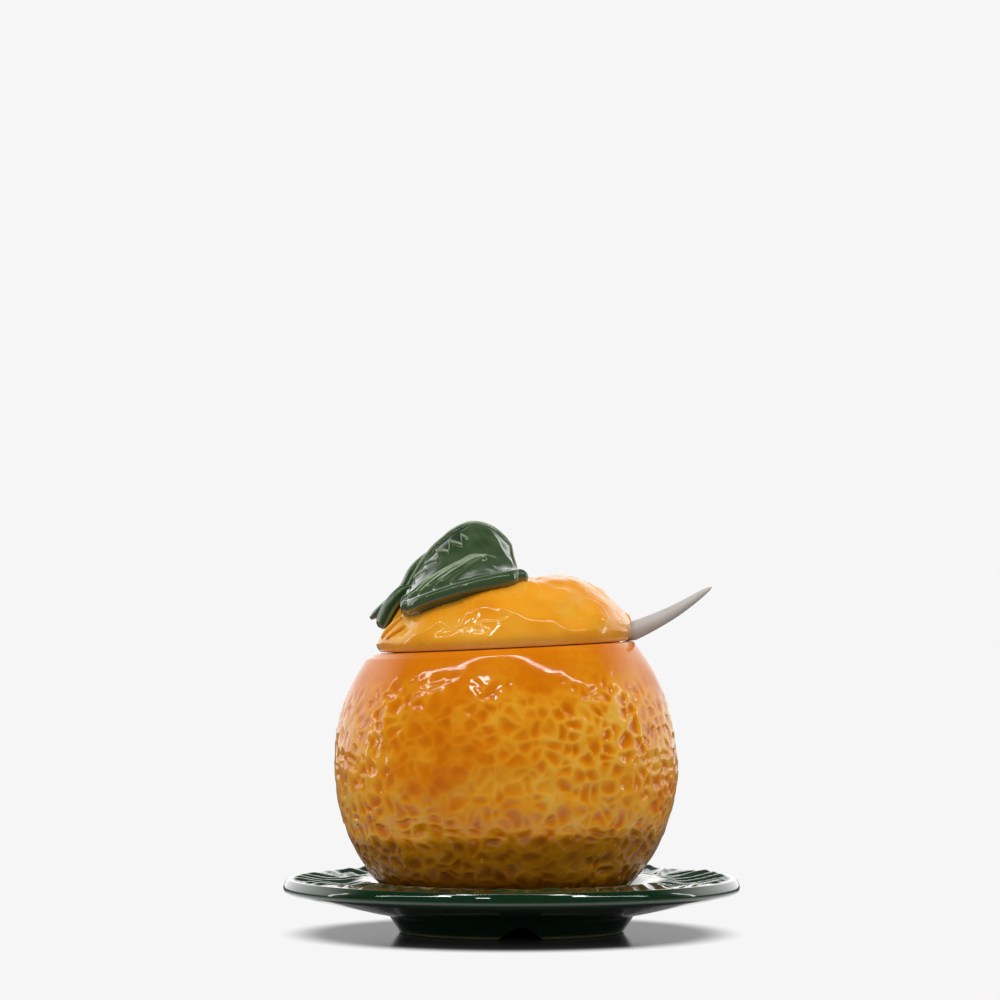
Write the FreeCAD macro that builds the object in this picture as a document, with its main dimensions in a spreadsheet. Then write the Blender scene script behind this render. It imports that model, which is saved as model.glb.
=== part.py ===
"""Orange-shaped ceramic pot with a leaf-topped lid, its saucer and its spoon.

The pot, the lid's shell and the saucer are PartDesign bodies, revolved from sketches. The leaf on the lid
and the spoon are free forms, lofted through closed sections worked out from the same spreadsheet.
Units are millimetres, +Z is up, +X is the spoon's side, and the origin is on the table under the saucer's axis.
"""

import FreeCAD, Part
import math
import os
import re

import Sketcher

from FreeCAD import Placement, Rotation, Vector

doc = FreeCAD.newDocument("orange_pot")

# ---------------------------------------------------------------------------------------------- sizes

SIZES = [
    # the saucer
    ("saucer_radius", 72.5, "rim of the saucer"),
    ("saucer_rim_height", 14.7, "middle of the rim's edge above the table"),
    ("saucer_rim_edge", 4.6, "thickness of the rounded rim"),
    ("saucer_plate", 5.4, "thickness of the plate over the foot ring"),
    ("saucer_collar_rise", 1.9, "raised collar of leaf tips above the rim's middle"),
    ("saucer_collar_clearance", 3.5, "from the collar's crest to the pot's belly"),
    ("saucer_dish", 1.3, "hollow between the collar and the rim"),
    ("foot_height", 4.6, "clear height inside the foot ring"),
    ("foot_radius", 35.4, "outside of the foot ring where it stands"),
    ("foot_flare", 3.7, "how much wider the foot ring is where it meets the plate"),
    ("foot_wall", 4.0, "width of the foot ring's standing face"),
    ("foot_notch_width", 13.0, "arched notches in the foot ring, so that washing water runs out"),
    ("foot_notch_height", 4.0, "height of the notches"),
    ("foot_notch_shift", 2.7, "the pattern of notches sits a little off the front"),
    ("foot_notch_count", 3, "number of notches"),
    # the pot
    ("pot_radius", 54.1, "belly of the pot at its widest"),
    ("pot_height", 80.0, "from the standing face to the middle of the rim"),
    ("pot_belly_height", 43.0, "height of the widest place"),
    ("pot_base_radius", 34.6, "where the lower belly would meet the standing plane"),
    ("pot_base_round", 12.0, "rounding between belly and standing face"),
    ("pot_wall", 4.5, "wall of the pot"),
    ("pot_floor", 5.0, "floor of the pot"),
    ("pot_foot_recess", 1.2, "hollow inside the unglazed standing ring"),
    ("pot_foot_ring", 5.0, "width of the unglazed standing ring"),
    ("pot_trim", 0.8, "clay cut off level under the leaning belly"),
    ("pot_lean", 1.5, "degrees that the belly leans towards the spoon"),
    ("pot_shift", 3.0, "pot's place off the saucer's axis, away from the spoon"),
    ("pot_seat_clearance", 3.5, "between the pot's standing face and the wall of the well"),
    ("mouth_radius", 36.0, "bore of the mouth"),
    ("mouth_depth", 5.0, "depth of the bored part under the rim"),
    ("mouth_shift", 0.6, "mouth's centre off the base's centre, towards the spoon"),
    ("rim_width", 6.0, "width of the rim around the mouth, before rounding"),
    ("rim_round", 2.2, "rounding of the rim's outer edge"),
    ("rim_tilt", 2.75, "degrees that the rim rises towards the spoon"),
    # the lid
    ("lid_set_back", 1.9, "lid at its widest inside the rim's outer edge"),
    ("lid_height", 21.0, "shell of the lid above the rim"),
    ("lid_wall", 4.0, "wall of the lid"),
    ("lid_dimple", 2.4, "depth of the stalk's dimple in the crown"),
    ("lid_gap", 0.3, "seam between lid and rim"),
    ("flange_clearance", 0.8, "between the locating flange and the mouth"),
    ("flange_depth", 5.0, "flange under the lid's seat"),
    ("flange_wall", 3.2, "wall of the flange"),
    # the leaf, measured in the lid's own frame from the middle of its seat
    ("leaf_base_reach", 31.6, "base of the midrib from the lid's axis"),
    ("leaf_base_rise", 16.6, "base of the midrib above the seat"),
    ("leaf_tip_reach", 7.8, "tip of the leaf beyond the lid's axis"),
    ("leaf_tip_rise", 21.6, "tip of the leaf above the seat"),
    ("leaf_crest_rise", 40.2, "highest place of the leaf above the seat"),
    ("leaf_half_width", 30, "from the midrib to either edge"),
    ("leaf_thickness", 4.6, "thickness of the blade"),
    ("leaf_lobe", 10.4, "how far the far lobe droops beyond the base"),
    ("leaf_lobe_shift", 4.5, "how far behind the stalk the far lobe lies"),
    ("stalk_radius", 2.5, "leaf stalk"),
    ("stalk_length", 12.5, "leaf stalk below the base of the midrib"),
    # the spoon
    ("spoon_azimuth", 12.0, "degrees that the spoon points away from +X, to the back"),
    ("spoon_reach", 68.0, "tip of the handle from the lid's axis"),
    ("spoon_tip_rise", 19.0, "tip of the handle above the middle of the rim"),
    ("spoon_width", 7.6, "handle across"),
    ("spoon_depth", 6.2, "handle's depth outside the lid"),
    ("spoon_neck_depth", 4.0, "handle's depth where it crosses the rim"),
    ("spoon_bowl_width", 24.0, "bowl across"),
    ("spoon_bowl_wall", 2.6, "wall of the bowl"),
    ("spoon_bowl_sag", 4.5, "depth of the bowl's hollow"),
    ("spoon_clearance", 0.3, "between the spoon and what it rests on"),
    ("notch_clearance", 1.0, "between the spoon and the sides of the lid's notch"),
]

sheet = doc.addObject("Spreadsheet::Sheet", "Sizes")
for row, (name, value, note) in enumerate(SIZES, start=1):
    sheet.set(f"A{row}", name)
    sheet.set(f"B{row}", str(value))
    sheet.set(f"C{row}", note)
    sheet.setAlias(f"B{row}", name)
doc.recompute()



def size(name):
    """One value of the spreadsheet, as a plain number."""
    return float(sheet.get(name))


def sized(expression):
    """An expression with its #names written as cells of the spreadsheet."""
    return re.sub(r"#(\w+)", r"Sizes.\1", expression)


# ------------------------------------------------------------------------------------ sketch helpers


def sketch_on(body, name, role="XZ_Plane", turned=0, offsets=()):
    """A sketch on one of the body's own origin planes; on XZ_Plane its axes are +X and +Z.

    turned is +1 or -1 where the sketch is turned in its plane by the size named in offsets["Rotation.Angle"].
    """
    sketch = body.newObject("Sketcher::SketchObject", name)
    plane = next(feature for feature in body.Origin.OriginFeatures if feature.Role == role)
    sketch.AttachmentSupport = [(plane, "")]
    sketch.MapMode = "FlatFace"
    if turned:
        sketch.AttachmentOffset = Placement(Vector(), Rotation(Vector(0, 0, turned), 1))
    for path, expression in offsets:
        sketch.setExpression(f"AttachmentOffset.{path}", sized(expression))
    doc.recompute()
    return sketch


def value_of(sketch, expression):
    return float(sketch.evalExpression(sized(expression)))


def pin(sketch, geometry, position, point):
    """Holds one point of a sketch at two expressions; "0" holds it on the axis."""
    for kind, expression, axis in zip(("DistanceX", "DistanceY"), point, (-2, -1)):
        if expression == "0":
            sketch.addConstraint(Sketcher.Constraint("PointOnObject", geometry, position, axis))
            continue
        value = value_of(sketch, expression)
        index = sketch.addConstraint(Sketcher.Constraint(kind, -1, 1, geometry, position, value))
        sketch.setExpression(f"Constraints[{index}]", sized(expression))


def add_line(sketch, start, end):
    index = sketch.addGeometry(Part.LineSegment(start, end), False)
    return index, 1, 2


def add_arc(sketch, start, end, radius, turn):
    """An arc from start to end that turns left (+1) or right (-1), held by its radius."""
    chord = end - start
    bulge = value_of(sketch, radius)
    height = math.sqrt(max(bulge**2 - chord.Length**2 / 4, 0))
    side = Vector(-chord.y, chord.x, 0).normalize() * turn
    centre = (start + end) / 2 + side * height
    first, last = (start, end) if turn > 0 else (end, start)
    angles = [math.atan2(point.y - centre.y, point.x - centre.x) for point in (first, last)]
    circle = Part.Circle(centre, Vector(0, 0, 1), bulge)
    index = sketch.addGeometry(Part.ArcOfCircle(circle, *angles), False)
    held = sketch.addConstraint(Sketcher.Constraint("Radius", index, bulge))
    sketch.setExpression(f"Constraints[{held}]", sized(radius))
    return (index, 1, 2) if turn > 0 else (index, 2, 1)


def add_spline(sketch, start, end, inner):
    """A smooth curve from start to end with each of its inner poles held by expressions."""
    poles = [start] + [Vector(value_of(sketch, x), value_of(sketch, y), 0) for x, y in inner] + [end]
    degree = 3
    spans = len(poles) - degree
    curve = Part.BSplineCurve()
    ends = degree + 1
    curve.buildFromPolesMultsKnots(
        poles, [ends] + [1] * (spans - 1) + [ends], list(range(spans + 1)), False, degree
    )
    index = sketch.addGeometry(curve, False)
    first_pole = sketch.GeometryCount
    sketch.exposeInternalGeometry(index)
    for step, point in enumerate(inner, start=1):
        pin(sketch, first_pole + step, 3, point)
    return index, 1, 2


def draw(sketch, corners, curves):
    """A closed outline through corners; curves[i] shapes the run that starts at corner i."""
    points = [Vector(value_of(sketch, x), value_of(sketch, y), 0) for x, y in corners]
    runs = []
    for i, start in enumerate(points):
        end = points[(i + 1) % len(points)]
        shape = curves.get(i)
        if shape is None:
            runs.append(add_line(sketch, start, end))
        elif shape[0] == "arc":
            runs.append(add_arc(sketch, start, end, *shape[1:]))
        else:
            runs.append(add_spline(sketch, start, end, shape[1]))
    for i, (index, begins, _) in enumerate(runs):
        before, _, ends = runs[i - 1]
        sketch.addConstraint(Sketcher.Constraint("Coincident", before, ends, index, begins))
        if corners[i] == ("0", "0"):
            sketch.addConstraint(Sketcher.Constraint("Coincident", index, begins, -1, 1))
        else:
            pin(sketch, index, begins, corners[i])
    doc.recompute()


def volume_of(body):
    return 0 if body.Shape.isNull() else body.Shape.Volume


def turn_round(body, kind, name, sketch):
    """A Revolution or Groove of a sketch about its own vertical axis; it has to change the volume."""
    before = volume_of(body)
    feature = body.newObject(f"PartDesign::{kind}", name)
    feature.Profile = sketch
    feature.ReferenceAxis = (sketch, ["V_Axis"])
    feature.Angle = 360
    doc.recompute()
    grown = volume_of(body) - before
    if grown * (1 if kind == "Revolution" else -1) <= 0:
        raise RuntimeError(f"{name} changed nothing")
    return feature


def pocket(body, name, sketch, length, direction):
    """A pocket along one direction in the body's frame; it has to take something away."""
    before = volume_of(body)
    feature = body.newObject("PartDesign::Pocket", name)
    feature.Profile = sketch
    feature.UseCustomVector = True
    feature.Direction = direction
    feature.setExpression("Length", sized(length))
    doc.recompute()
    if volume_of(body) >= before:
        raise RuntimeError(f"{name} cut nothing")
    return feature


# ------------------------------------------------------------------------------ lines of the profiles

# The belly of the pot is two arcs that meet upright at its widest place. Their heights are measured in
# a frame that lies pot_trim under the standing face, because the leaning belly is cut level there.
BELLY_LEVEL = "(#pot_belly_height + #pot_trim)"
LOWER_IN = "(#pot_radius - #pot_base_radius)"
LOWER_ARC = f"(({LOWER_IN} ^ 2 + #pot_belly_height ^ 2) / (2 * {LOWER_IN}))"
RIM_OUTSIDE = "(#mouth_radius + #rim_width)"
UPPER_IN = f"(#pot_radius - {RIM_OUTSIDE})"
LID_RADIUS = f"({RIM_OUTSIDE} - #lid_set_back)"
UPPER_RISE = "(#pot_height - #pot_belly_height)"
UPPER_ARC = f"(({UPPER_IN} ^ 2 + {UPPER_RISE} ^ 2) / (2 * {UPPER_IN}))"


def base_corner(arc, rounding, level):
    """Radius of the flat at one level, where a rounding meets it that is tangent to the lower belly's arc."""
    across = f"sqrt(({arc} - {rounding}) ^ 2 - ({BELLY_LEVEL} - {level} - {rounding}) ^ 2)"
    return f"(#pot_radius - {LOWER_ARC} + {across})"


def base_joint(arc, rounding, level):
    """Where that rounding meets the arc."""
    scale = f"({arc} / ({arc} - {rounding}))"
    middle = f"(#pot_radius - {LOWER_ARC})"
    across = f"{middle} + {scale} * ({base_corner(arc, rounding, level)} - {middle})"
    up = f"{BELLY_LEVEL} - {scale} * ({BELLY_LEVEL} - {level} - {rounding})"
    return across, up


POT_FLAT = base_corner(LOWER_ARC, "#pot_base_round", "0")
WELL_RADIUS = f"({POT_FLAT} + #pot_shift + #pot_seat_clearance)"

# The saucer's collar stands clear of the belly at the level of its crest.
CREST_LEVEL = "(#saucer_rim_height + #saucer_collar_rise - #foot_height - #saucer_plate)"
POT_AT_CREST = f"(#pot_radius - {LOWER_ARC} + sqrt({LOWER_ARC} ^ 2 - (#pot_belly_height - {CREST_LEVEL}) ^ 2))"
COLLAR_RADIUS = f"({POT_AT_CREST} + #pot_shift + #saucer_collar_clearance)"

# The spoon crosses the rim under a notch in the lid, on the height that the rim has at its azimuth.
NOTCH_TOP = "(#spoon_depth + #spoon_clearance + 2 * #notch_clearance)"

# --------------------------------------------------------------------------------------- the saucer


def make_saucer():
    """A plate on a flared foot ring, with a well for the pot and a raised collar of leaf tips around it."""
    body = doc.addObject("PartDesign::Body", "saucer")
    half_edge = "#saucer_rim_edge / 2"
    rim_top = f"#saucer_rim_height + {half_edge}"
    rim_bottom = f"#saucer_rim_height - {half_edge}"
    floor = "#foot_height + #saucer_plate"
    collar_top = "#saucer_rim_height + #saucer_collar_rise"
    well = WELL_RADIUS
    collar = COLLAR_RADIUS
    root = "#foot_radius + #foot_flare"
    under = "#foot_height + 0.9"
    rim = f"#saucer_radius - {half_edge}"
    profile = sketch_on(body, "saucer_profile")
    corners = [
        ("0", "#foot_height"),
        ("#foot_radius - #foot_wall + 0.8", "#foot_height"),
        ("#foot_radius - #foot_wall", "0"),
        ("#foot_radius", "0"),
        (root, under),
        (rim, rim_bottom),
        (rim, rim_top),
        (collar, collar_top),
        (well, floor),
        ("0", floor),
    ]
    dish = [
        ("#saucer_radius - 9", f"{rim_top} - 0.2"),
        (f"(#saucer_radius + {collar}) / 2", f"{rim_top} - #saucer_dish"),
        (f"{collar} + 4", f"{collar_top} - 0.2"),
    ]
    wall = [
        (f"{collar} - 3", f"{collar_top} + 0.2"),
        (f"{well} + 0.58 * ({collar} - {well})", f"{collar_top} - 1"),
        (f"{well} + 3", floor),
    ]
    belly = [
        (f"{root} + 8", f"{under} + 1.5"),
        (f"({root} + #saucer_radius) / 2", f"({under} + {rim_bottom}) / 2 - 0.6"),
        ("#saucer_radius - 8", f"{rim_bottom} - 1.1"),
    ]
    edge = [
        (f"{rim} + {half_edge} * 4 / 3", rim_bottom),
        (f"{rim} + {half_edge} * 4 / 3", rim_top),
    ]
    shapes = {4: ("spline", belly), 5: ("spline", edge), 6: ("spline", dish), 7: ("spline", wall)}
    draw(profile, corners, shapes)
    turn_round(body, "Revolution", "saucer_turned", profile)

    notch = sketch_on(body, "saucer_notch", offsets=[("Base.x", "#foot_notch_shift")])
    arch = "(#foot_notch_width ^ 2 / 4 + #foot_notch_height ^ 2) / (2 * #foot_notch_height)"
    half = "#foot_notch_width / 2"
    draw(notch, [(half, "0"), (f"-{half}", "0")], {0: ("arc", arch, 1)})
    cut = pocket(body, "saucer_notch_cut", notch, "#foot_radius + #foot_flare", Vector(0, -1, 0))
    ring = body.newObject("PartDesign::PolarPattern", "saucer_notches")
    ring.Originals = [cut]
    ring.Axis = (next(f for f in body.Origin.OriginFeatures if f.Role == "Z_Axis"), [""])
    ring.Angle = 360
    ring.setExpression("Occurrences", sized("#foot_notch_count"))
    body.Tip = ring
    doc.recompute()
    return body


# ------------------------------------------------------------------------------------------ the pot


def make_pot():
    """A leaning belly with an even wall, cut level below, and a tilted rim bored for the lid's flange."""
    body = doc.addObject("PartDesign::Body", "pot")
    lean = [("Rotation.Angle", "#pot_lean"), ("Base.y", "-#pot_trim")]
    rim_level = "(#pot_height + #pot_trim)"
    headroom = f"({RIM_OUTSIDE} * sin(#rim_tilt + #pot_lean) + 0.5)"
    outside = sketch_on(body, "pot_outside", turned=-1, offsets=lean)
    neck = f"#pot_radius - {UPPER_ARC} + sqrt({UPPER_ARC} ^ 2 - ({UPPER_RISE} + {headroom}) ^ 2)"
    corners = [
        ("0", "0"),
        (POT_FLAT, "0"),
        base_joint(LOWER_ARC, "#pot_base_round", "0"),
        ("#pot_radius", BELLY_LEVEL),
        (neck, f"{rim_level} + {headroom}"),
        ("0", f"{rim_level} + {headroom}"),
    ]
    arcs = {1: ("arc", "#pot_base_round", 1), 2: ("arc", LOWER_ARC, 1), 3: ("arc", UPPER_ARC, 1)}
    draw(outside, corners, arcs)
    turn_round(body, "Revolution", "pot_turned", outside)

    # the level standing face
    under = sketch_on(body, "pot_level", role="XY_Plane")
    beyond = "#pot_radius"
    square = [(beyond, beyond), (f"-{beyond}", beyond), (f"-{beyond}", f"-{beyond}"), (beyond, f"-{beyond}")]
    draw(under, square, {})
    pocket(body, "pot_levelled", under, "2 * #pot_trim + 2", Vector(0, 0, -1))
    recess = sketch_on(body, "pot_recess")
    inside = f"{POT_FLAT} - #pot_foot_ring"
    draw(
        recess,
        [("0", "0"), (inside, "0"), (f"{inside} - #pot_foot_recess", "#pot_foot_recess"), ("0", "#pot_foot_recess")],
        {},
    )
    turn_round(body, "Groove", "pot_foot", recess)

    # everything above the tilted rim, and the mouth's bore
    tilt = [
        ("Rotation.Angle", "#rim_tilt"),
        ("Base.x", "#mouth_shift + #mouth_depth * sin(#rim_tilt)"),
        ("Base.y", "#pot_height - #mouth_depth * cos(#rim_tilt)"),
    ]
    rim = sketch_on(body, "pot_rim", turned=1, offsets=tilt)
    above = "#mouth_depth + 20"
    corners = [
        ("0", "0"),
        ("#mouth_radius", "0"),
        ("#mouth_radius", "#mouth_depth"),
        ("#pot_radius + 10", "#mouth_depth"),
        ("#pot_radius + 10", above),
        ("0", above),
    ]
    draw(rim, corners, {})
    turn_round(body, "Groove", "pot_mouth", rim)
    bored = (body.Tip, [rim_edge(body)])
    rounded = body.newObject("PartDesign::Fillet", "pot_rim_round")
    rounded.Base = bored
    rounded.setExpression("Radius", sized("#rim_round"))
    doc.recompute()

    # the inside, a wall's width within the belly
    hollow = sketch_on(body, "pot_inside", turned=-1, offsets=lean)
    lower = f"({LOWER_ARC} - #pot_wall)"
    upper = f"({UPPER_ARC} - #pot_wall)"
    rounding = "(#pot_base_round - #pot_wall)"
    floor = "(#pot_trim + #pot_floor)"
    mouth_up = f"{BELLY_LEVEL} + sqrt({upper} ^ 2 - (#mouth_radius - #pot_radius + {UPPER_ARC}) ^ 2)"
    top = f"{rim_level} + 20"
    corners = [
        ("0", floor),
        (base_corner(lower, rounding, floor), floor),
        base_joint(lower, rounding, floor),
        ("#pot_radius - #pot_wall", BELLY_LEVEL),
        ("#mouth_radius", mouth_up),
        ("#mouth_radius", top),
        ("0", top),
    ]
    arcs = {1: ("arc", rounding, 1), 2: ("arc", lower, 1), 3: ("arc", upper, 1)}
    draw(hollow, corners, arcs)
    turn_round(body, "Groove", "pot_hollow", hollow)
    body.setExpression("Placement.Base.x", sized("-#pot_shift"))
    body.setExpression("Placement.Base.z", sized("#foot_height + #saucer_plate"))
    return body


def rim_edge(body):
    """The name of the rim's outer edge, the widest closed edge near the top of the pot."""
    level = size("pot_height") - size("pot_radius") * math.sin(math.radians(size("rim_tilt"))) - 1
    named = [(edge, f"Edge{i}") for i, edge in enumerate(body.Shape.Edges, start=1)]
    high = [(edge.Length, name) for edge, name in named if edge.BoundBox.ZMin > level and edge.isClosed()]
    return max(high)[1]


# ------------------------------------------------------------------------------------------ the lid

# Poles of the lid's dome from its edge to its crown, as shares of its radius and its height.
DOME = [(1.03, 0.10), (0.99, 0.36), (0.83, 0.72), (0.66, 0.97), (0.38, 1.04)]
DOME_EDGE = 0.975
DIMPLE_REACH = 0.18


FLANGE_RADIUS = "(#mouth_radius - #flange_clearance)"


def dome_poles(radius, height, dimple):
    poles = [(f"{x} * {radius}", f"#flange_depth + {y} * {height}") for x, y in DOME]
    return poles + [(f"{DIMPLE_REACH} * {radius}", f"#flange_depth + {height} - {dimple}")]


def make_lid_dome():
    """The dome over the rim and the flange that locates it in the mouth, still solid."""
    body = doc.addObject("PartDesign::Body", "lid_dome")
    outside = sketch_on(body, "lid_outside")
    corners = [
        ("0", "0"),
        (FLANGE_RADIUS, "0"),
        (FLANGE_RADIUS, "#flange_depth"),
        (f"{DOME_EDGE} * {LID_RADIUS}", "#flange_depth"),
        ("0", "#flange_depth + #lid_height - #lid_dimple"),
    ]
    draw(outside, corners, {3: ("spline", dome_poles(LID_RADIUS, "#lid_height", "#lid_dimple"))})
    turn_round(body, "Revolution", "lid_turned", outside)
    return body


def make_lid_core():
    """The space inside the lid, a wall's width within the dome."""
    body = doc.addObject("PartDesign::Body", "lid_core")
    inside = sketch_on(body, "lid_inside")
    radius = f"({LID_RADIUS} - #lid_wall)"
    height = "(#lid_height - #lid_wall)"
    corners = [
        ("0", "0"),
        (f"{FLANGE_RADIUS} - #flange_wall", "0"),
        (f"{FLANGE_RADIUS} - #flange_wall", "#flange_depth"),
        ("0", f"#flange_depth + {height} - #lid_dimple"),
    ]
    draw(inside, corners, {2: ("spline", dome_poles(radius, height, "#lid_dimple"))})
    turn_round(body, "Revolution", "lid_core_turned", inside)
    return body


def make_lid_notch():
    """The arched opening in the lid's edge that lets the spoon out."""
    body = doc.addObject("PartDesign::Body", "lid_notch")
    slot = sketch_on(body, "lid_notch_outline")
    slot.AttachmentOffset = Placement(Vector(), Rotation(Vector(0, 1, 0), 90))
    slot.setExpression("AttachmentOffset.Rotation.Angle", sized("90 + #spoon_azimuth"))
    doc.recompute()
    half = "(#spoon_width / 2 + #notch_clearance)"
    shoulder = f"#flange_depth + {NOTCH_TOP} - {half}"
    corners = [(half, "0"), (half, shoulder), (f"-{half}", shoulder), (f"-{half}", "0")]
    draw(slot, corners, {1: ("arc", f"1.1 * {half}", 1)})
    pad = body.newObject("PartDesign::Pad", "lid_notch_run")
    pad.Profile = slot
    pad.UseCustomVector = True
    azimuth = math.radians(size("spoon_azimuth"))
    pad.Direction = Vector(math.cos(azimuth), math.sin(azimuth), 0)
    pad.setExpression("Length", sized(f"{LID_RADIUS} + 2"))
    doc.recompute()
    return body


# ------------------------------------------------------------------------------------- free forms


def blade_section(upper, lower):
    """A ring over a row of points and back under it, with round edges; lower[i] lies under upper[i]."""
    rounded = []
    for end, inner in ((-1, -2), (0, 1)):
        middle = (upper[end] + lower[end]) / 2
        half = (upper[end] - lower[end]) / 2
        outward = (upper[end] - upper[inner]).normalize() * half.Length
        turn = [math.pi * step / 4 for step in (1, 2, 3)]
        arc = [middle + half * math.cos(angle) + outward * math.sin(angle) for angle in turn]
        rounded.append(arc if end == -1 else arc[::-1])
    return upper + rounded[0] + lower[::-1] + rounded[1]


def loft(sections):
    """A solid whose skin passes smoothly through rings of points, closed by a flat face at both ends."""
    skin = Part.BSplineSurface()
    skin.interpolate([ring + ring[:1] for ring in sections])
    skin.setVPeriodic()
    side = skin.toShape()
    rims = [edge for edge in side.Edges if not edge.isSeam(side.Faces[0])]
    caps = [Part.Face(Part.Wire([rim])) for rim in rims]
    shell = Part.makeShell([side] + caps)
    shell.sewShape()
    shape = Part.makeSolid(shell)
    return shape if shape.Volume > 0 else shape.reversed()


def facets(rings):
    """A solid of triangles between rings of points, closed by a fan at both ends."""
    faces = []

    def triangle(*corners):
        faces.append(Part.Face(Part.makePolygon(list(corners) + [corners[0]])))

    for ring, after in zip(rings, rings[1:]):
        for i in range(len(ring)):
            triangle(ring[i - 1], ring[i], after[i])
            triangle(ring[i - 1], after[i], after[i - 1])
    for ring in (rings[0], rings[-1]):
        middle = sum(ring, Vector()) / len(ring)
        for i in range(len(ring)):
            triangle(ring[i - 1], ring[i], middle)
    shell = Part.makeShell(faces)
    shell.sewShape()
    shape = Part.makeSolid(shell)
    return shape if shape.Volume > 0 else shape.reversed()


def smooth(points, count):
    """Points at even steps of a smooth curve through a few, with the curve's direction at each."""
    curve = Part.BSplineCurve()
    curve.interpolate(points)
    first, last = curve.FirstParameter, curve.LastParameter
    steps = [first + (last - first) * i / count for i in range(count + 1)]
    return [(curve.value(step), curve.tangent(step)[0]) for step in steps]


def blend(start, end, share):
    return start + (end - start) * share


def arched(share, start, end, power):
    """A line from start to end with a hump of height 1 over it, upright at both ends."""
    return blend(start, end, share), math.sin(math.pi * share**1.15) ** power


# ----------------------------------------------------------------------------------------- the leaf

LEAF_SECTIONS = 20
LEAF_POINTS = 12
LEAF_ROOT = 7.0
LEAF_EDGE_LIFT = 1.2
LEAF_TIP_CURL = 4.0
LEAF_TIP_THICKENING = 1.4
LEAF_OUTLINE = 0.4
LEAF_ARCH = 0.65


def midrib(share):
    """Place on the midrib, an arch from the base over the crest to the tip."""
    base, tip = size("leaf_base_rise"), size("leaf_tip_rise")
    line, hump = arched(share, base, tip, LEAF_ARCH)
    crest = size("leaf_crest_rise") - (base + tip) / 2
    return Vector(blend(-size("leaf_base_reach"), size("leaf_tip_reach"), share), 0, line + crest * hump)


def leaf_section(angle):
    """A section across the blade: it falls from the midrib and flares into a thick lip along both edges.

    The leaf is full underneath and rooted in the dome. The sections are flat and side by side.
    """
    share = (1 - math.cos(angle)) / 2
    crown = midrib(share)
    width = size("leaf_half_width") * math.sin(angle) ** LEAF_OUTLINE
    edge = blend(size("leaf_base_rise"), size("leaf_tip_rise") + LEAF_TIP_CURL, share)
    edge += LEAF_EDGE_LIFT * math.sin(math.pi * share)
    thickness = size("leaf_thickness") * blend(1, LEAF_TIP_THICKENING, share)
    upper, lower = [], []
    for i in range(LEAF_POINTS + 1):
        place = 2 * i / LEAF_POINTS - 1
        reach = abs(place)
        fall = reach**2 * (3 - 2 * reach)
        spread = math.copysign(width * reach * (0.62 + 0.38 * reach), place)
        upper.append(Vector(crown.x, spread, blend(crown.z, edge, fall)))
        lower.append(Vector(crown.x, spread, edge - thickness - LEAF_ROOT * (1 - reach**4)))
    return blade_section(upper, lower)


def round_section(place, direction, across, deep):
    """An elliptic section at right angles to a path, with its longer axis level."""
    level = Vector(-direction.y, direction.x, 0)
    level = level.normalize() if level.Length > 1e-6 else Vector(0, 1, 0)
    steep = direction.cross(level)
    turns = [2 * math.pi * i / 12 for i in range(12)]
    return [place + level * across * math.cos(a) + steep * deep * math.sin(a) for a in turns]


def tapered(points, count, widths):
    """A rounded limb along a smooth path; widths gives the half-width and half-depth at a share of it."""
    path = smooth(points, count)
    sections = [round_section(*step, *widths(i / count)) for i, step in enumerate(path)]
    return loft(sections)


def make_leaf():
    """The folded leaf over the crown with its stalk and the lobe that droops behind the stalk."""
    margin = math.radians(9)
    angles = [margin + (math.pi - 2 * margin) * i / (LEAF_SECTIONS - 1) for i in range(LEAF_SECTIONS)]
    base = midrib(0)
    blade = facets([leaf_section(angle) for angle in angles])

    radius, length = size("stalk_radius"), size("stalk_length")
    stalk_start = midrib(0.06) - Vector(0, 0, size("leaf_thickness") / 2)
    stalk_end = base + Vector(-0.58 * length, 0, -0.72 * length)
    bend = blend(stalk_start, stalk_end, 0.5) + Vector(-0.8, 0, 0.8)
    stalk = tapered([stalk_start, bend, stalk_end], 8, lambda share: (radius * rounding(share),) * 2)

    lobe, behind = size("leaf_lobe"), size("leaf_lobe_shift")
    lobe_path = [
        midrib(0.40) + Vector(0, behind, -4.5),
        midrib(0.22) + Vector(0, behind, -1.9),
        midrib(0.10) + Vector(0, behind, 0.3),
        midrib(0.03) + Vector(0, behind, 0.4),
        base + Vector(-0.25 * lobe, behind, 0.3),
        base + Vector(-0.62 * lobe, behind, -2.4),
        base + Vector(-lobe, behind, -5.4),
    ]
    far_lobe = tapered(lobe_path, 14, lambda share: (4.2 * rounding(share), 1.9 * rounding(share)))
    return blade, stalk, far_lobe


def rounding(share):
    """Width of a limb with blunt round ends, as a share of its greatest."""
    return max(0.15, (1 - abs(2 * share - 1) ** 6) ** 0.5)


def join(kind, name, base, tool):
    """A Part::Fuse or Part::Cut of two objects."""
    result = doc.addObject(f"Part::{kind}", name)
    result.Base = base
    result.Tool = tool
    doc.recompute()
    return result


def make_lid():
    """The lid and its leaf, one fired piece, set on the tilted rim."""
    blade, stalk, far_lobe = make_leaf()
    leaf = doc.addObject("Part::Feature", "leaf")
    leaf.Shape = blade.fuse(stalk).fuse(far_lobe)
    tilt = math.radians(size("rim_tilt"))
    axis = Vector(-math.sin(tilt), 0, math.cos(tilt))
    seat = rim_middle() + axis * size("lid_gap")
    turned = Rotation(Vector(0, -1, 0), size("rim_tilt"))
    leaf.Placement = Placement(seat, turned)
    dome, core, notch = make_lid_dome(), make_lid_core(), make_lid_notch()
    for body in (dome, core, notch):
        body.Placement = Placement(seat - axis * size("flange_depth"), turned)
    topped = join("Fuse", "lid_with_leaf", dome, leaf)
    hollowed = join("Cut", "lid_hollowed", topped, core)
    return join("Cut", "lid", hollowed, notch)


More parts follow.
